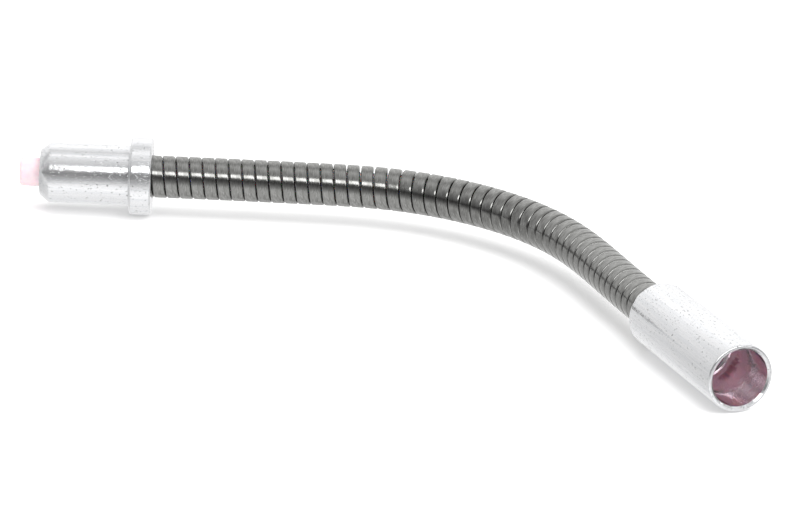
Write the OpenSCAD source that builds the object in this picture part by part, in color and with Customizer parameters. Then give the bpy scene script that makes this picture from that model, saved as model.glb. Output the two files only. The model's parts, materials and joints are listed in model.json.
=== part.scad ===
// Flexible brake cable guide: a close-wound flat-wire coil with a plastic liner
// between a flanged nose ferrule and a ferrule that takes the cable housing.
// The origin is on the nose axis, at the face of the flange that meets the
// cradle. The nose points along -X, +Z is up and the coil bends towards -Y.
// The coil and the liner are single flexible pieces. They are divided here into
// short lengths, each hinged to the next about a line on the inside of the bend.

/* [Coil] */
// Outer diameter of the coil
coil_od = 5; // [4.8:0.1:5.2]
// Thickness of the flat wire, measured radially
wire_thickness = 0.6; // [0.5:0.05:0.65]
// Distance from one turn to the next
coil_pitch = 1.54; // [1.5:0.005:1.65]
// Gap between neighbouring turns when the coil is straight
turn_gap = 0.16; // [0.12:0.02:0.24]
// Turns in each length that bends as one
turns_per_length = 2; // [2]
// Number of lengths that the coil is divided into
length_count = 25; // [25]
// Turns that sit inside each ferrule
seated_turns = 2; // [1:1:2]

/* [Nose ferrule] */
// Diameter of the nose that drops into the brake arm's cradle
nose_d = 7.1; // [6.8:0.1:7.4]
// Length of the nose in front of the flange
nose_length = 10.6; // [9:0.1:12]
// Width of the chamfer at the nose's front edge, measured radially
nose_chamfer = 0.85; // [0.7:0.05:1]
// Length of the same chamfer along the nose
nose_chamfer_length = 1.15; // [0.9:0.05:1.3]
// Diameter of the flange
flange_d = 9.1; // [9:0.1:10]
// Thickness of the flange
flange_thickness = 2.6; // [2.2:0.1:2.8]

/* [Housing ferrule] */
// Outer diameter at the coil end
ferrule_back_d = 7.5; // [7.2:0.1:7.6]
// Outer diameter at the mouth
ferrule_mouth_d = 7.7; // [7.6:0.05:8]
// Length of the ferrule
ferrule_length = 21; // [20:0.5:26]
// Diameter of the socket that takes a housing end cap
socket_d = 6.6; // [6.2:0.05:6.8]
// Depth of the socket, from the mouth to the liner's head
socket_depth = 9.3; // [8:0.1:11]
// Width of the chamfer at the socket's mouth
mouth_chamfer = 0.2; // [0.15:0.05:0.3]

/* [Liner] */
// Outer diameter of the liner
liner_od = 3.4; // [3.2:0.1:3.4]
// Diameter of the cable passage
liner_bore = 2; // [1.6:0.1:2.2]
// Length of liner that stands out of the nose
liner_tip = 2.4; // [1.5:0.1:3]
// Diameter of the flared head at the bottom of the socket
liner_head_d = 5.7; // [5.4:0.1:5.8]
// Thickness of the flared head
liner_head_thickness = 0.8; // [0.6:0.1:1]

/* [Rest shape] */
// Angle between the nose and the housing ferrule at rest, in degrees
bend_angle = 66; // [60:1:80]
// Roll of the bend's plane about the nose axis, which brings the ferrule down to the table
plane_roll = 0.5; // [0:0.1:0.6]

/* [Hidden] */
// Share of the bend taken along the coil, from the flange (0) to the ferrule (1).
// A negative share is a stretch that bends slightly the other way.
BEND_SHARE = [[0, 0.3], [0.25, 0.3], [0.35, 7], [0.45, 6], [0.65, 6], [0.8, 0.5], [0.85, -0.5],
              [1, -0.5]];
// Steps in each turn of the coil's wire
TURN_STEPS = 20;
// Angle cut off each end of a length of wire, in degrees
END_TRIM = 2;
// Radial clearance between the coil and the mouth of a ferrule
ENTRY_CLEARANCE = 0.15;
// Depth of the relieved mouth of each coil seat
ENTRY_DEPTH = 1.2;
// Radial clearance between the liner and the coil
LINER_CLEARANCE = 0.2;
// Gap between neighbouring lengths of liner when the coil is straight
LINER_GAP = 0.04;
// Chamfer on the outer edges of both ferrules
EDGE_CHAMFER = 0.25;
// Bevel on the tip of the liner
TIP_BEVEL = 0.35;
// Small overlap that lets a cut pass through a face
CUT = 0.5;

ALUMINIUM = [0.9, 0.9, 0.91];
STEEL = [0.55, 0.55, 0.56];
PINK = [0.95, 0.83, 0.85];

$fn = 64;

coil_r = coil_od / 2;
liner_r = liner_od / 2;
coil_inner_r = coil_r - wire_thickness;
wire_width = coil_pitch - turn_gap;
segment_length = turns_per_length * coil_pitch;
seated_length = (seated_turns + 0.5) * coil_pitch;
liner_hole_r = liner_r + LINER_CLEARANCE / 2;

// Rest angle of the joint before each length; the last one carries the ferrule
shares = [for (k = [0:length_count]) lookup(k / length_count, BEND_SHARE)];
function total(list, i = 0) = i == len(list) ? 0 : list[i] + total(list, i + 1);
joint_angles = [for (share = shares) bend_angle * share / total(shares)];

// Direction along the coil at a heading, and the direction to the inside of the bend
function along(heading) = [cos(heading), -sin(heading)];
function inside(heading) = [-sin(heading), -cos(heading)];

// Start point and heading of each length in the plane of the bend. Every joint turns
// about the inner edge of its own bend, so the turns only open on the outside.
function chain(k, point, heading) =
    let (turned = heading + joint_angles[k],
         offset = sign(joint_angles[k]) * coil_r,
         pivot = point + offset * inside(heading),
         start = pivot - offset * inside(turned),
         rest = k < length_count
             ? chain(k + 1, start + segment_length * along(turned), turned) : [])
    concat([[start, turned]], rest);
places = chain(0, [flange_thickness, 0], 0);

function two_digits(n) = n < 10 ? str("0", n) : str(n);
coil_names = [for (k = [1:length_count]) str("coil_turns_", two_digits(k))];
liner_names = [for (k = [1:length_count]) str("liner_", two_digits(k))];

// Places a shape, drawn along +X from its start point, at the end of joint k
module after_joint(k) {
    rotate([plane_roll, 0, 0])
        translate([places[k][0].x, places[k][0].y, 0])
            rotate([0, 0, -places[k][1]])
                children();
}

// A turned solid about the X axis: each profile point is [x, radius]
module turned(profile) {
    rotate([90, 0, 90])
        rotate_extrude()
            polygon([for (p = profile) [p.y, p.x]]);
}

// A straight round hole or tube wall along X
module bore(x, radius, length) {
    translate([x, 0, 0]) rotate([0, 90, 0]) cylinder(r = radius, h = length);
}

// Flat wire wound right-handed about the X axis. Angle zero is on the inside of the
// bend, where each length is cut, and the wire at angle zero starts half a pitch early.
module wound_wire(first_turn, turns) {
    count = turns * TURN_STEPS;
    span = turns * 360 - 2 * END_TRIM;
    radii = [coil_inner_r, coil_r];
    function corner(i, side, edge) =
        let (angle = first_turn * 360 + END_TRIM + span * i / count,
             x = coil_pitch * (angle / 360 - 0.5) + turn_gap / 2 + edge * wire_width)
        [x, -radii[side] * cos(angle), -radii[side] * sin(angle)];
    points = [for (i = [0:count]) each
        [corner(i, 0, 0), corner(i, 0, 1), corner(i, 1, 1), corner(i, 1, 0)]];
    walls = [for (i = [0:count - 1], j = [0:3])
        let (a = 4 * i + j, b = 4 * i + (j + 1) % 4) each [[a, b, b + 4], [a, b + 4, a + 4]]];
    last = 4 * count;
    caps = [[3, 2, 1], [3, 1, 0], [last, last + 1, last + 2], [last, last + 2, last + 3]];
    polyhedron(points, concat(walls, caps));
}

// A length of liner along X
module liner_tube(x, length) {
    difference() {
        bore(x, liner_r, length);
        bore(x - CUT, liner_bore / 2, length + 2 * CUT);
    }
}

module nose_ferrule() {
    front = -nose_length;
    nose_r = nose_d / 2;
    flange_r = flange_d / 2;
    color(ALUMINIUM)
        difference() {
            turned([
                [front, 0],
                [front, nose_r - nose_chamfer],
                [front + nose_chamfer_length, nose_r],
                [0, nose_r],
                [0, flange_r - EDGE_CHAMFER],
                [EDGE_CHAMFER, flange_r],
                [flange_thickness - EDGE_CHAMFER, flange_r],
                [flange_thickness, flange_r - EDGE_CHAMFER],
                [flange_thickness, 0]]);
            bore(front - CUT, liner_hole_r, nose_length + flange_thickness + 2 * CUT);
            bore(flange_thickness - seated_length, coil_r, seated_length + CUT);
            bore(flange_thickness - ENTRY_DEPTH, coil_r + ENTRY_CLEARANCE, ENTRY_DEPTH + CUT);
        }
}

module coil_nose_end() {
    color(STEEL)
        translate([flange_thickness, 0, 0])
            wound_wire(-seated_turns, seated_turns);
}

module liner_nose_end() {
    front = -nose_length - liner_tip;
    end = flange_thickness - LINER_GAP / 2;
    color(PINK)
        difference() {
            turned([
                [front, 0],
                [front, liner_r - TIP_BEVEL],
                [front + TIP_BEVEL, liner_r],
                [end, liner_r],
                [end, 0]]);
            bore(front - CUT, liner_bore / 2, end - front + 2 * CUT);
        }
}

module coil_turns(k) {
    color(STEEL)
        after_joint(k - 1)
            wound_wire(0, turns_per_length);
}

module liner_length(k) {
    color(PINK)
        after_joint(k - 1)
            liner_tube(LINER_GAP / 2, segment_length - LINER_GAP);
}

module coil_socket_end() {
    color(STEEL)
        after_joint(length_count)
            wound_wire(0, seated_turns);
}

module liner_socket_end() {
    face_x = ferrule_length - socket_depth;
    head_r = liner_head_d / 2;
    back_x = face_x - liner_head_thickness;
    color(PINK)
        after_joint(length_count)
            difference() {
                turned([
                    [LINER_GAP / 2, 0],
                    [LINER_GAP / 2, liner_r],
                    [back_x, liner_r],
                    [back_x, head_r],
                    [face_x, head_r],
                    [face_x, 0]]);
                bore(-CUT, liner_bore / 2, face_x + 2 * CUT);
            }
}

module housing_ferrule() {
    back_r = ferrule_back_d / 2;
    mouth_r = ferrule_mouth_d / 2;
    socket_r = socket_d / 2;
    floor_x = ferrule_length - socket_depth;
    color(ALUMINIUM)
        after_joint(length_count)
            difference() {
                turned([
                    [0, 0],
                    [0, back_r - EDGE_CHAMFER],
                    [EDGE_CHAMFER, back_r],
                    [ferrule_length - EDGE_CHAMFER, mouth_r],
                    [ferrule_length, mouth_r - EDGE_CHAMFER],
                    [ferrule_length, 0]]);
                turned([
                    [floor_x, 0],
                    [floor_x, socket_r],
                    [ferrule_length - mouth_chamfer, socket_r],
                    [ferrule_length + CUT, socket_r + mouth_chamfer + CUT],
                    [ferrule_length + CUT, 0]]);
                bore(floor_x - liner_head_thickness, liner_head_d / 2, liner_head_thickness + CUT);
                bore(-CUT, liner_hole_r, floor_x + 2 * CUT);
                bore(-CUT, coil_r, seated_length + CUT);
                bore(-CUT, coil_r + ENTRY_CLEARANCE, ENTRY_DEPTH + CUT);
            }
}

nose_ferrule();
coil_nose_end();
liner_nose_end();
for (k = [1:length_count]) {
    coil_turns(k);
    liner_length(k);
}
coil_socket_end();
liner_socket_end();
housing_ferrule();
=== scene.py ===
"""Looks for the flexible brake cable guide: a flat-wire coil between two turned aluminium ferrules.

Lengths are in millimetres. mesh_object and the other builders turn them into metres.
"""
import json
import math

import bmesh
import bpy
from mathutils import Matrix, Vector


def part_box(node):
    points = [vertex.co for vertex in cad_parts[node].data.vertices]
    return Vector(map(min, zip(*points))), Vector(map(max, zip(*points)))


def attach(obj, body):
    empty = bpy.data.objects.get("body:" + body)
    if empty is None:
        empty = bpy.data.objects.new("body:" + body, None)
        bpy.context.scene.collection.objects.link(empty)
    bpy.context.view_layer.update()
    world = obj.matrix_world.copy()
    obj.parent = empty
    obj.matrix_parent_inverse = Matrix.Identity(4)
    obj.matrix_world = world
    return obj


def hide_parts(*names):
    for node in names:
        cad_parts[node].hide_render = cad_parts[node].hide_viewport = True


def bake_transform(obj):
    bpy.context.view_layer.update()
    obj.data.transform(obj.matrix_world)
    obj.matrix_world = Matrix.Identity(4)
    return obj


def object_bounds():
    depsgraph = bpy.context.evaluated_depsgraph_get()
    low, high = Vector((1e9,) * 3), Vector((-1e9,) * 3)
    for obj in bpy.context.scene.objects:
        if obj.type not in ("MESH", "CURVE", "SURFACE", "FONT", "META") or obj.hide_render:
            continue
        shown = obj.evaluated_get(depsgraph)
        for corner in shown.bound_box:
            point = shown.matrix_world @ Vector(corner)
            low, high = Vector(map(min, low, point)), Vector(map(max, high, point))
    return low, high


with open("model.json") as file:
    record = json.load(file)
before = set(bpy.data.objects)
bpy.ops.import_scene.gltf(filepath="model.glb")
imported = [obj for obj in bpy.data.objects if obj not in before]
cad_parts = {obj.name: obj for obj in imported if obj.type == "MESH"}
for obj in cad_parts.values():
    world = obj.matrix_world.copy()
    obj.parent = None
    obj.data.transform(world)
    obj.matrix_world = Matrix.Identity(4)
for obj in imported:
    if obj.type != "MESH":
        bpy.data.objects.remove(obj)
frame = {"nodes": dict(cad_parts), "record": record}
cad_low, cad_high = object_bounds()

MM = 0.001

# ---------------------------------------------------------------- sizes from the frame

record = frame["record"]
mounts = {mount["name"]: mount for mount in record["mounts"]}
joints = record["behaviour"]["joints"]
lead = next(joint for joint in joints if joint["name"] == "bend")
ratios = {pair["joint"]: pair["ratio"] for pair in record["behaviour"]["couplings"]}

FORWARD = Vector((1, 0, 0))
SIDEWAYS = Vector(lead["axis"])
INWARD = SIDEWAYS.cross(FORWARD)


def node_box(node):
    """Lowest and highest corner of a CAD node, in millimetres."""
    return [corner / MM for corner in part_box(node)]


def along(heading):
    """Direction of the coil's centre line at a heading."""
    return math.cos(heading) * FORWARD + math.sin(heading) * INWARD


def inward(heading):
    """Direction to the inside of the bend at a heading."""
    return math.cos(heading) * INWARD - math.sin(heading) * FORWARD


def turned_outline(node, origin, heading):
    """Distance along the axis and radius of each CAD vertex of a turned part."""
    axis = along(heading)
    outline = []
    for vertex in frame["nodes"][node].data.vertices:
        offset = vertex.co / MM - origin
        distance = offset.dot(axis)
        outline.append((distance, (offset - distance * axis).length))
    return outline


nose_low, nose_high = node_box("nose_ferrule")
coil_low, coil_high = node_box("coil_nose_end")
NOSE_FRONT = nose_low.x
FLANGE_BACK = nose_high.x
FLANGE_R = nose_high.z
NOSE_R = mounts["nose_pin"]["dims"]["r_mm"]
TIP_FRONT = node_box("liner_nose_end")[0].x
COIL_R = (coil_high.z - coil_low.z) / 2
SOCKET_R = mounts["housing_socket"]["dims"]["r_mm"]
BORE_R = mounts["cable_passage_nose"]["dims"]["r_mm"]

WIRE_THICKNESS = 0.6
# Rounded corners of the wire: their width along the coil and their depth
CORNER_WIDTH = 0.2
CORNER_DEPTH = 0.22
TURN_GAP = 0.06
INNER_BEVEL = 0.06
TURNS_PER_LENGTH = 2
SEATED_TURNS = 2.5
SEAT_R = COIL_R + 0.01
ENTRY_R = COIL_R + 0.15
ENTRY_DEPTH = 1.2
LINER_R = 1.7
LINER_HOLE_R = 1.8
NOSE_CHAMFER = 0.85
NOSE_CHAMFER_LENGTH = 1.15
MOUTH_CHAMFER = 0.2

# ---------------------------------------------------------------- the rest curve from the joints

bodies = ["nose"] + [joint["child"] for joint in joints]
rest_turn = -math.radians(lead["range_deg"][0])
turns = [rest_turn * ratios.get(joint["name"], 1.0) for joint in joints]
headings = [0.0]
for turn in turns:
    headings.append(headings[-1] + turn)

ends = []
starts = []
for joint, turn, before, after in zip(joints, turns, headings, headings[1:]):
    pivot = Vector(joint["pos_m"]) / MM
    reach = math.copysign(COIL_R, turn)
    ends.append(pivot - reach * inward(before))
    starts.append(pivot - reach * inward(after))

SPAN = (ends[1] - starts[0]).length
PITCH = SPAN / TURNS_PER_LENGTH
WIRE_WIDTH = PITCH - TURN_GAP
SEAT_DEPTH = SEATED_TURNS * PITCH
# Turn of the wire at the middle of each length, counted from the inside of the bend
MIDDLE_PHASE = -0.494

middles = [ends[0] - along(0) * SPAN / 2]
middles += [(start + end) / 2 for start, end in zip(starts, ends[1:])]
middles.append(starts[-1] + along(headings[-1]) * SPAN / 2)

FERRULE_START = starts[-1]
FERRULE_HEADING = headings[-1]
ferrule_outline = turned_outline("housing_ferrule", FERRULE_START, FERRULE_HEADING)
head_outline = turned_outline("liner_socket_end", FERRULE_START, FERRULE_HEADING)
FERRULE_LENGTH = max(x for x, r in ferrule_outline)
FERRULE_MOUTH_R = max(r for x, r in ferrule_outline)
FERRULE_BACK_R = max(r for x, r in ferrule_outline if x < 1)
HEAD_FACE = max(x for x, r in head_outline)
HEAD_R = max(r for x, r in head_outline)
HEAD_BACK = min(x for x, r in head_outline if r > LINER_R + 0.1)


def bend_point(k, share):
    """Point and heading on the smooth centre line between the middles of bodies k and k + 1."""
    turn = turns[k]
    heading = headings[k] + share * turn
    radius = SPAN / 2 / math.tan(turn / 2) + math.copysign(COIL_R, turn)
    centre = middles[k] + radius * inward(headings[k])
    return centre - radius * inward(heading), heading


def bend_path(k, steps):
    """Points and headings along bend k."""
    return [bend_point(k, step / steps) for step in range(steps + 1)]


def straight_path(origin, heading, first, last, steps):
    """Points and headings on a straight stretch of the centre line."""
    step_length = (last - first) / steps
    distances = [first + step_length * i for i in range(steps + 1)]
    return [(origin + distance * along(heading), heading) for distance in distances]


# ---------------------------------------------------------------- mesh builders


def mesh_object(name, points, faces, materials, grain, sharp_angle=38):
    """A smooth-shaded solid. grain holds the coordinates of each point for its material."""
    mesh = bpy.data.meshes.new(name)
    mesh.from_pydata([point * MM for point in points], [], [face for face, _ in faces])
    for polygon, (_, material) in zip(mesh.polygons, faces):
        polygon.material_index = material
    for material in materials:
        mesh.materials.append(material)
    attribute = mesh.attributes.new("grain", "FLOAT_VECTOR", "POINT")
    attribute.data.foreach_set("vector", [value for vector in grain for value in vector])
    solid = bmesh.new()
    solid.from_mesh(mesh)
    bmesh.ops.recalc_face_normals(solid, faces=solid.faces)
    solid.to_mesh(mesh)
    solid.free()
    mesh.shade_smooth()
    mesh.set_sharp_from_angle(angle=math.radians(sharp_angle))
    item = bpy.data.objects.new(name, mesh)
    bpy.context.scene.collection.objects.link(item)
    return item


def ring_faces(rings, width, material=0):
    """Side faces between neighbouring rings of points, each ring closed on itself."""
    faces = []
    for ring in range(rings - 1):
        for i in range(width):
            here, there = ring * width, (ring + 1) * width
            j = (i + 1) % width
            faces.append(((here + i, here + j, there + j, there + i), material))
    return faces


def arc(centre_x, centre_r, radius, first, last, steps=4):
    """Points of a round corner in a turned profile, between two angles in degrees."""
    points = []
    for step in range(steps + 1):
        angle = math.radians(first + (last - first) * step / steps)
        points.append((centre_x + radius * math.cos(angle), centre_r + radius * math.sin(angle)))
    return points


def turned(name, profile, origin, heading, materials, lining=0, segments=120):
    """A ring-shaped solid turned from a closed profile of (x, radius) points.
    The last lining points of the profile take the second material."""
    points, grain = [], []
    for x, radius in profile:
        for i in range(segments):
            angle = 2 * math.pi * i / segments
            side = math.cos(angle) * inward(heading) + math.sin(angle) * SIDEWAYS
            points.append(origin + x * along(heading) + radius * side)
            grain.append((x, radius * math.cos(angle), radius * math.sin(angle)))
    faces = []
    count = len(profile)
    for p in range(count):
        q = (p + 1) % count
        material = 1 if p >= count - lining else 0
        for i in range(segments):
            j = (i + 1) % segments
            here, there = p * segments, q * segments
            faces.append(((here + i, here + j, there + j, there + i), material))
    return mesh_object(name, points, faces, materials, grain)


def wire_profile():
    """Section of the flat wire: (offset along the coil, depth below its outer surface)."""
    half = WIRE_WIDTH / 2
    flat = half - CORNER_WIDTH
    right = [(flat + CORNER_WIDTH * math.sin(a), CORNER_DEPTH * (1 - math.cos(a)))
             for a in map(math.radians, (0, 18, 36, 54, 72, 90))]
    right += [(half, WIRE_THICKNESS - INNER_BEVEL), (half - INNER_BEVEL, WIRE_THICKNESS)]
    left = [(-x, depth) for x, depth in reversed(right)]
    return [(-0.8 * flat, 0), (0.8 * flat, 0)] + right + left


def wound_wire(name, path, phase, material):
    """Flat wire wound right-handed round a path. phase is the turn of its first point."""
    profile = wire_profile()
    width = len(profile)
    points, grain = [], []
    wound = 0.0
    turns_wound = (len(path) - 1) / WIRE_STEPS
    for i, (centre, heading) in enumerate(path):
        turn = phase + turns_wound * i / (len(path) - 1)
        angle = 2 * math.pi * turn
        outward = math.cos(angle) * inward(heading) + math.sin(angle) * SIDEWAYS
        wound = 2 * math.pi * COIL_R * turn
        for offset, depth in profile:
            points.append(centre + offset * along(heading) + (COIL_R - depth) * outward)
            grain.append((wound, offset, depth))
    faces = ring_faces(len(path), width)
    faces.append((tuple(range(width)), 0))
    faces.append((tuple(range((len(path) - 1) * width, len(path) * width)), 0))
    return mesh_object(name, points, faces, [material], grain)


def sleeve(name, path, material, segments=40):
    """A length of liner along a path."""
    points, grain = [], []
    for centre, heading in path:
        for radius in (LINER_R, BORE_R):
            for i in range(segments):
                angle = 2 * math.pi * i / segments
                side = math.cos(angle) * inward(heading) + math.sin(angle) * SIDEWAYS
                points.append(centre + radius * side)
                grain.append((centre - path[0][0]).to_tuple())
    faces = []
    last = len(path) - 1
    for i in range(segments):
        j = (i + 1) % segments
        for wall in (0, segments):
            for ring in range(last):
                here = 2 * segments * ring + wall
                there = here + 2 * segments
                faces.append(((here + i, here + j, there + j, there + i), 0))
        for ring in (0, last):
            base = 2 * segments * ring
            faces.append(((base + i, base + j, base + segments + j, base + segments + i), 0))
    return mesh_object(name, points, faces, [material], grain)


# ---------------------------------------------------------------- materials


def new_material(name, colour, **sockets):
    """A Principled material; its constant values are set on the shader's own sockets."""
    material = bpy.data.materials.new(name)
    material.use_nodes = True
    shader = material.node_tree.nodes["Principled BSDF"]
    shader.inputs["Base Color"].default_value = (*colour, 1)
    for socket, value in sockets.items():
        shader.inputs[socket.replace("_", " ")].default_value = value
    return material, material.node_tree, shader


def grain_vector(tree, stretch):
    """The grain coordinates, scaled by stretch."""
    source = tree.nodes.new("ShaderNodeAttribute")
    source.attribute_name = "grain"
    mapping = tree.nodes.new("ShaderNodeMapping")
    mapping.inputs["Scale"].default_value = stretch
    tree.links.new(source.outputs["Vector"], mapping.inputs["Vector"])
    return mapping.outputs["Vector"]


def noise(tree, stretch, detail=3.0, roughness=0.55):
    """Noise over the grain coordinates; stretch is in cells per millimetre."""
    node = tree.nodes.new("ShaderNodeTexNoise")
    node.inputs["Scale"].default_value = 1
    node.inputs["Detail"].default_value = detail
    node.inputs["Roughness"].default_value = roughness
    tree.links.new(grain_vector(tree, stretch), node.inputs["Vector"])
    return node.outputs["Fac"]


def remap(tree, value, low, high, new_low, new_high):
    """value from the range low..high to new_low..new_high, clamped."""
    node = tree.nodes.new("ShaderNodeMapRange")
    tree.links.new(value, node.inputs["Value"])
    limits = {"From Min": low, "From Max": high, "To Min": new_low, "To Max": new_high}
    for socket, number in limits.items():
        node.inputs[socket].default_value = number
    return node.outputs["Result"]


def blend_colours(tree, factor, first, second):
    """A colour between first and second."""
    node = tree.nodes.new("ShaderNodeMix")
    node.data_type = "RGBA"
    tree.links.new(factor, node.inputs["Factor"])
    for socket, colour in ((node.inputs[6], first), (node.inputs[7], second)):
        if isinstance(colour, bpy.types.NodeSocket):
            tree.links.new(colour, socket)
        else:
            socket.default_value = (*colour, 1)
    return node.outputs[2]


def bump(tree, height, depth, under=None):
    """Surface relief of a depth in millimetres, on top of another bump."""
    node = tree.nodes.new("ShaderNodeBump")
    node.inputs["Strength"].default_value = 1
    node.inputs["Distance"].default_value = depth * MM
    tree.links.new(height, node.inputs["Height"])
    if under is not None:
        tree.links.new(under, node.inputs["Normal"])
    return node.outputs["Normal"]


def rolled_steel():
    """Bright flat steel wire: fine drawing lines along the wire, faint stains and worn patches."""
    material, tree, shader = new_material("rolled_steel", (0.4, 0.4, 0.4), Metallic=1.0)
    lines = noise(tree, (0.25, 22, 22), detail=4)
    stains = noise(tree, (0.9, 1.6, 1.6), detail=4)
    worn = remap(tree, noise(tree, (1.5, 9, 9)), 0.5, 0.72, 0, 1)
    stained = remap(tree, stains, 0.35, 0.65, 0, 1)
    stained = blend_colours(tree, stained, (0.24, 0.24, 0.23), (0.35, 0.35, 0.34))
    colour = blend_colours(tree, worn, stained, (0.45, 0.45, 0.44))
    tree.links.new(colour, shader.inputs["Base Color"])
    tree.links.new(remap(tree, lines, 0.3, 0.7, 0.12, 0.24), shader.inputs["Roughness"])
    relief = bump(tree, lines, 0.0015)
    tree.links.new(bump(tree, stains, 0.008, relief), shader.inputs["Normal"])
    return material


def turned_aluminium():
    """Bright turned aluminium: faint rings from the tool, streaks along the axis, pits and knocks."""
    material, tree, shader = new_material("turned_aluminium", (0.9, 0.91, 0.92), Metallic=0.87)
    rings = noise(tree, (6, 0.05, 0.05), detail=2)
    streaks = noise(tree, (0.1, 5, 5), detail=3)
    knocks = noise(tree, (1.3, 1.8, 1.8), detail=4, roughness=0.6)
    pits = remap(tree, noise(tree, (2.6, 4, 4), detail=3), 0.62, 0.7, 0, 1)
    streaked = remap(tree, streaks, 0.35, 0.65, 0, 1)
    streaked = blend_colours(tree, streaked, (0.84, 0.85, 0.87), (0.92, 0.92, 0.93))
    tree.links.new(blend_colours(tree, pits, streaked, (0.5, 0.51, 0.51)), shader.inputs["Base Color"])
    tree.links.new(remap(tree, knocks, 0.35, 0.65, 0.08, 0.2), shader.inputs["Roughness"])
    relief = bump(tree, rings, 0.002)
    relief = bump(tree, knocks, 0.018, relief)
    tree.links.new(bump(tree, pits, -0.02, relief), shader.inputs["Normal"])
    return material


def polished_bore_pink_reflection():
    """The socket's wall: the same aluminium, reamed smooth, with faint rings, its colour tinted pink as a
    painted reflection of the pink liner.
    """
    # Base colour tinted pink: a painted reflection of the pink liner in the socket
    material, tree, shader = new_material("polished_bore_pink_reflection", (0.93, 0.87, 0.9), Metallic=1.0)
    rings = noise(tree, (12, 0.05, 0.05), detail=3)
    smears = noise(tree, (0.6, 1.5, 1.5), detail=4)
    tree.links.new(remap(tree, smears, 0.3, 0.7, 0.05, 0.14), shader.inputs["Roughness"])
    relief = bump(tree, rings, 0.002)
    tree.links.new(bump(tree, smears, 0.04, relief), shader.inputs["Normal"])
    return material


def liner_plastic(name, dark, light):
    """Pink low-friction plastic, slightly translucent, clouded between two colours."""
    material, tree, shader = new_material(
        name, light, Roughness=0.3, Subsurface_Weight=0.4, Subsurface_Scale=0.001)
    clouds = noise(tree, (1.1, 1.1, 1.1), detail=3)
    scuffs = noise(tree, (0.8, 14, 14), detail=3)
    colour = blend_colours(tree, remap(tree, clouds, 0.3, 0.7, 0, 1), dark, light)
    tree.links.new(colour, shader.inputs["Base Color"])
    tree.links.new(remap(tree, scuffs, 0.3, 0.7, 0.25, 0.42), shader.inputs["Roughness"])
    tree.links.new(bump(tree, scuffs, 0.006), shader.inputs["Normal"])
    return material


STEEL = rolled_steel()
ALUMINIUM = turned_aluminium()
BORE = polished_bore_pink_reflection()
# One pink plastic in two copies: the paler one, on the liner's tip and bends, is lightened as painted light
# passing through the plastic; the liner's head keeps the deeper pink
PLASTIC = liner_plastic("liner_plastic", (0.78, 0.61, 0.65), (0.84, 0.68, 0.71))
HEAD_PLASTIC = liner_plastic("liner_head_plastic", (0.82, 0.48, 0.58), (0.9, 0.6, 0.69))

# ---------------------------------------------------------------- pieces

WIRE_STEPS = 72
LINER_STEPS = 10
# Radii of the rings on the liner's head, as shares of its own radius
HEAD_RINGS = (0.82, 0.64, 0.47)


def finish_piece(item, slot_name, *nodes):
    """Hides the CAD nodes that a piece stands for. slot_name is not used."""
    if nodes:
        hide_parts(*nodes)
    return item


def nose_profile():
    """Nose ferrule: chamfered nose, rounded flange and the stepped seat of the coil."""
    face_r = NOSE_R - NOSE_CHAMFER
    shoulder = NOSE_FRONT + NOSE_CHAMFER_LENGTH
    seat = FLANGE_BACK - SEAT_DEPTH
    step = FLANGE_BACK - ENTRY_DEPTH
    profile = [(NOSE_FRONT + 0.1, LINER_HOLE_R), (NOSE_FRONT, LINER_HOLE_R + 0.1)]
    profile += [(NOSE_FRONT, face_r - 0.06), (NOSE_FRONT + 0.06, face_r + 0.04)]
    profile += [(shoulder - 0.08, NOSE_R - 0.06), (shoulder + 0.1, NOSE_R)]
    profile += arc(-0.15, NOSE_R + 0.15, 0.15, -90, 0, 3)
    profile += arc(0.4, FLANGE_R - 0.4, 0.4, 180, 90, 6)
    profile += arc(FLANGE_BACK - 0.3, FLANGE_R - 0.3, 0.3, 90, 0, 5)
    profile += [(FLANGE_BACK, ENTRY_R + 0.2), (FLANGE_BACK - 0.2, ENTRY_R), (step, ENTRY_R)]
    return profile + [(step, SEAT_R), (seat, SEAT_R), (seat, LINER_HOLE_R)]


def ferrule_profile():
    """Housing ferrule outside, from the coil's end to the chamfered mouth."""
    profile = [(SEAT_DEPTH, LINER_HOLE_R), (SEAT_DEPTH, SEAT_R), (ENTRY_DEPTH, SEAT_R)]
    profile += [(ENTRY_DEPTH, ENTRY_R), (0.15, ENTRY_R), (0, ENTRY_R + 0.15)]
    profile += arc(0.4, FERRULE_BACK_R - 0.4, 0.4, 180, 90, 6)
    profile += arc(FERRULE_LENGTH - 0.22, FERRULE_MOUTH_R - 0.22, 0.22, 90, 0, 4)
    return profile + [(FERRULE_LENGTH, SOCKET_R + MOUTH_CHAMFER)]


def socket_profile():
    """Housing ferrule inside: the socket's wall and the recess that the liner's head fills."""
    wall = FERRULE_LENGTH - MOUTH_CHAMFER
    recess = HEAD_R + 0.005
    return [(wall, SOCKET_R), (HEAD_FACE + 0.15, SOCKET_R), (HEAD_FACE, SOCKET_R - 0.1),
            (HEAD_FACE, recess), (HEAD_BACK, recess), (HEAD_BACK, LINER_HOLE_R)]


def tip_profile():
    """Liner from its tip, in front of the nose, to the middle of the coil's seat."""
    end = middles[0].x
    profile = [(TIP_FRONT + 0.12, BORE_R), (TIP_FRONT, BORE_R + 0.12)]
    return profile + arc(TIP_FRONT + 0.4, LINER_R - 0.4, 0.4, 180, 90, 5) + [(end, LINER_R), (end, BORE_R)]


def head_profile():
    """Liner from the coil's end to its head, which has low rings on its face."""
    profile = [(SPAN / 2, BORE_R), (SPAN / 2, LINER_R), (HEAD_BACK, LINER_R), (HEAD_BACK, HEAD_R)]
    profile += arc(HEAD_FACE - 0.12, HEAD_R - 0.12, 0.12, 90, 0, 3)
    for share in HEAD_RINGS:
        radius = HEAD_R * share
        profile += [(HEAD_FACE, radius + 0.1), (HEAD_FACE - 0.1, radius + 0.04)]
        profile += [(HEAD_FACE - 0.1, radius - 0.04), (HEAD_FACE, radius - 0.1)]
    return profile + [(HEAD_FACE, BORE_R + 0.15), (HEAD_FACE - 0.15, BORE_R)]


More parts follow.
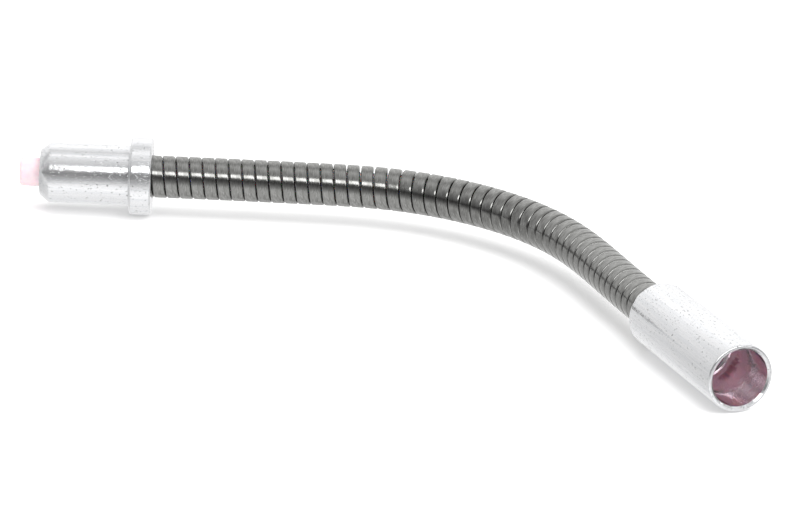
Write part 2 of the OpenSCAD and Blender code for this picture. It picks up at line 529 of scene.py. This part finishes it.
def build_nose():
    """Everything that the nose ferrule carries."""
    origin = Vector((0, 0, 0))
    body = turned("nose_body", nose_profile(), origin, 0, [ALUMINIUM])
    finish_piece(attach(body, "nose"), "aluminium", "nose_ferrule")
    tip = turned("liner_tip", tip_profile(), origin, 0, [PLASTIC], segments=72)
    finish_piece(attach(tip, "nose"), "liner_plastic", "liner_nose_end")
    path = straight_path(middles[0], 0, -PITCH, 0, WIRE_STEPS)
    coil = wound_wire("coil_in_nose", path, MIDDLE_PHASE - 1, STEEL)
    finish_piece(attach(coil, "nose"), "coil_steel", "coil_nose_end")


def build_bends():
    """The coil and the liner from the middle of one body to the middle of the next."""
    last = len(joints) - 1
    for k, joint in enumerate(joints):
        label = f"{k + 1:02d}"
        path = bend_path(k, TURNS_PER_LENGTH * WIRE_STEPS)
        coil = wound_wire("coil_bend_" + label, path, MIDDLE_PHASE, STEEL)
        tube = sleeve("liner_bend_" + label, bend_path(k, LINER_STEPS), PLASTIC)
        for item in (coil, tube):
            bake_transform(item)
        finish_piece(coil, "coil_steel", "coil_socket_end" if k == last else "coil_turns_" + label)
        if k < last:
            finish_piece(tube, "liner_plastic", "liner_" + label)
        else:
            finish_piece(tube, "liner_plastic")


def build_socket():
    """Everything that the housing ferrule carries."""
    outside = ferrule_profile()
    inside = socket_profile()
    body = turned("ferrule_body", outside + inside, FERRULE_START, FERRULE_HEADING,
                  [ALUMINIUM, BORE], lining=len(inside))
    finish_piece(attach(body, "socket"), "aluminium", "housing_ferrule")
    head = turned("liner_head", head_profile(), FERRULE_START, FERRULE_HEADING, [HEAD_PLASTIC],
                  segments=96)
    finish_piece(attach(head, "socket"), "liner_plastic", "liner_socket_end")
    path = straight_path(middles[-1], FERRULE_HEADING, 0, PITCH, WIRE_STEPS)
    coil = wound_wire("coil_in_ferrule", path, MIDDLE_PHASE, STEEL)
    finish_piece(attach(coil, "socket"), "coil_steel")


build_nose()
build_bends()
build_socket()

# ---------------------------------------------------------------- floor, surroundings and lights

FLOOR_SIZE = 3000
FLOOR_GAP = 0.02
# Brightness of the surroundings at each angle over the part, in degrees: -90 is straight down,
# 0 is level towards the front (-Y), 90 is straight up and 180 is level behind.
SURROUNDINGS = [(-180, 1.0), (-125, 0.86), (-90, 0.86), (-60, 0.95), (-45, 1.08), (-33, 1.0),
                (-22, 0.78), (-12, 0.5), (0, 0.25), (12, 0.1), (22, 0.1), (28, 0.3), (60, 0.55), (76, 0.74),
                (90, 1.0), (101, 0.78), (112, 0.58), (126, 0.85), (142, 1.1), (180, 1.0)]
BRIGHTEST = 1.2
# Share of that brightness left towards the two ends of the X axis
SIDE_LEVEL = 0.6

STRIP_POSITION = (380, -486, 378)
STRIP_TARGET = (380, -20, 0)
STRIP_WIDTH = 1240
STRIP_HEIGHT = 170
STRIP_RADIANCE = 3.0
WINDOW_POSITION = (280, -100, 700)
WINDOW_TARGET = (30, -20, 0)
WINDOW_ENERGY = 3.2
WINDOW_ANGLE = 80


def floor_material():
    """White paper on a softly lit table."""
    material = bpy.data.materials.new("white_paper")
    material.use_nodes = True
    tree = material.node_tree
    shader = tree.nodes["Principled BSDF"]
    shader.inputs["Base Color"].default_value = (0.9, 0.9, 0.9, 1)
    shader.inputs["Roughness"].default_value = 0.9
    shader.inputs["Specular IOR Level"].default_value = 0.1
    shader.inputs["Emission Color"].default_value = (1, 1, 1, 1)
    shader.inputs["Emission Strength"].default_value = 0.22
    return material


def build_floor():
    """The sheet that the part lies on."""
    half = FLOOR_SIZE / 2 * MM
    z = cad_low.z - FLOOR_GAP * MM
    mesh = bpy.data.meshes.new("floor")
    corners = [(-half, -half, z), (half, -half, z), (half, half, z), (-half, half, z)]
    mesh.from_pydata(corners, [], [(0, 1, 2, 3)])
    mesh.materials.append(floor_material())
    floor = bpy.data.objects.new("floor", mesh)
    bpy.context.scene.collection.objects.link(floor)
    floor.visible_glossy = False


def build_surroundings():
    """A studio whose brightness depends on the angle above the front."""
    world = bpy.data.worlds.new("studio")
    bpy.context.scene.world = world
    world.use_nodes = True
    tree = world.node_tree
    coordinates = tree.nodes.new("ShaderNodeTexCoord")
    axes = tree.nodes.new("ShaderNodeSeparateXYZ")
    front = tree.nodes.new("ShaderNodeMath")
    front.operation = "MULTIPLY"
    front.inputs[1].default_value = -1
    angle = tree.nodes.new("ShaderNodeMath")
    angle.operation = "ARCTAN2"
    tree.links.new(coordinates.outputs["Generated"], axes.inputs[0])
    tree.links.new(axes.outputs["Y"], front.inputs[0])
    tree.links.new(axes.outputs["Z"], angle.inputs[0])
    tree.links.new(front.outputs[0], angle.inputs[1])
    ramp = tree.nodes.new("ShaderNodeValToRGB")
    tree.links.new(remap(tree, angle.outputs[0], -math.pi, math.pi, 0, 1), ramp.inputs["Fac"])
    elements = ramp.color_ramp.elements
    while len(elements) < len(SURROUNDINGS):
        elements.new(1)
    for element, (degrees, level) in zip(elements, SURROUNDINGS):
        element.position = (degrees + 180) / 360
        element.color = (*[level / BRIGHTEST] * 3, 1)
    aside = tree.nodes.new("ShaderNodeMath")
    aside.operation = "ABSOLUTE"
    tree.links.new(axes.outputs["X"], aside.inputs[0])
    strength = remap(tree, aside.outputs[0], 0.3, 0.95, BRIGHTEST, BRIGHTEST * SIDE_LEVEL)
    background = tree.nodes["Background"]
    tree.links.new(ramp.outputs["Color"], background.inputs["Color"])
    tree.links.new(strength, background.inputs["Strength"])


def aim(item, position, target):
    """Puts a light at a position, facing a target."""
    item.location = Vector(position) * MM
    item.rotation_euler = (Vector(target) - Vector(position)).to_track_quat("-Z", "Y").to_euler()


def softbox(name, position, target, width, height, radiance):
    """A rectangular light of a given brightness."""
    light = bpy.data.lights.new(name, "AREA")
    light.shape = "RECTANGLE"
    light.size = width * MM
    light.size_y = height * MM
    light.energy = radiance * math.pi * light.size * light.size_y
    item = bpy.data.objects.new(name, light)
    bpy.context.scene.collection.objects.link(item)
    aim(item, position, target)
    return item


def build_lights():
    """A long strip in front of the part, and a soft light from the right."""
    softbox("strip", STRIP_POSITION, STRIP_TARGET, STRIP_WIDTH, STRIP_HEIGHT, STRIP_RADIANCE)
    light = bpy.data.lights.new("window", "SUN")
    light.energy = WINDOW_ENERGY
    light.angle = math.radians(WINDOW_ANGLE)
    window = bpy.data.objects.new("window", light)
    window.visible_glossy = False
    bpy.context.scene.collection.objects.link(window)
    aim(window, WINDOW_POSITION, WINDOW_TARGET)


build_floor()
build_surroundings()
build_lights()

# ---------------------------------------------------------------- camera

LENS = 265.8
AZIMUTH = 0.01
ELEVATION = 0.3383
ROLL = 0.0368
DISTANCE = 668.9
TARGET = Vector((32.42, -28.28, 0))


def build_camera():
    """The camera, above the front and far away."""
    back = Vector((math.sin(AZIMUTH) * math.cos(ELEVATION), -math.cos(AZIMUTH) * math.cos(ELEVATION),
                   math.sin(ELEVATION)))
    right = Vector((0, 0, 1)).cross(back).normalized()
    up = back.cross(right)
    rolled_right = math.cos(ROLL) * right + math.sin(ROLL) * up
    rolled_up = math.cos(ROLL) * up - math.sin(ROLL) * right
    data = bpy.data.cameras.new("camera")
    data.lens = LENS
    data.sensor_width = 36
    data.clip_start = 0.01
    data.clip_end = 20
    camera = bpy.data.objects.new("camera", data)
    bpy.context.scene.collection.objects.link(camera)
    turn = Matrix((rolled_right, rolled_up, back)).transposed().to_4x4()
    camera.matrix_world = Matrix.Translation((TARGET + DISTANCE * back) * MM) @ turn
    bpy.context.scene.camera = camera


build_camera()
bpy.context.scene.view_settings.view_transform = "Standard"
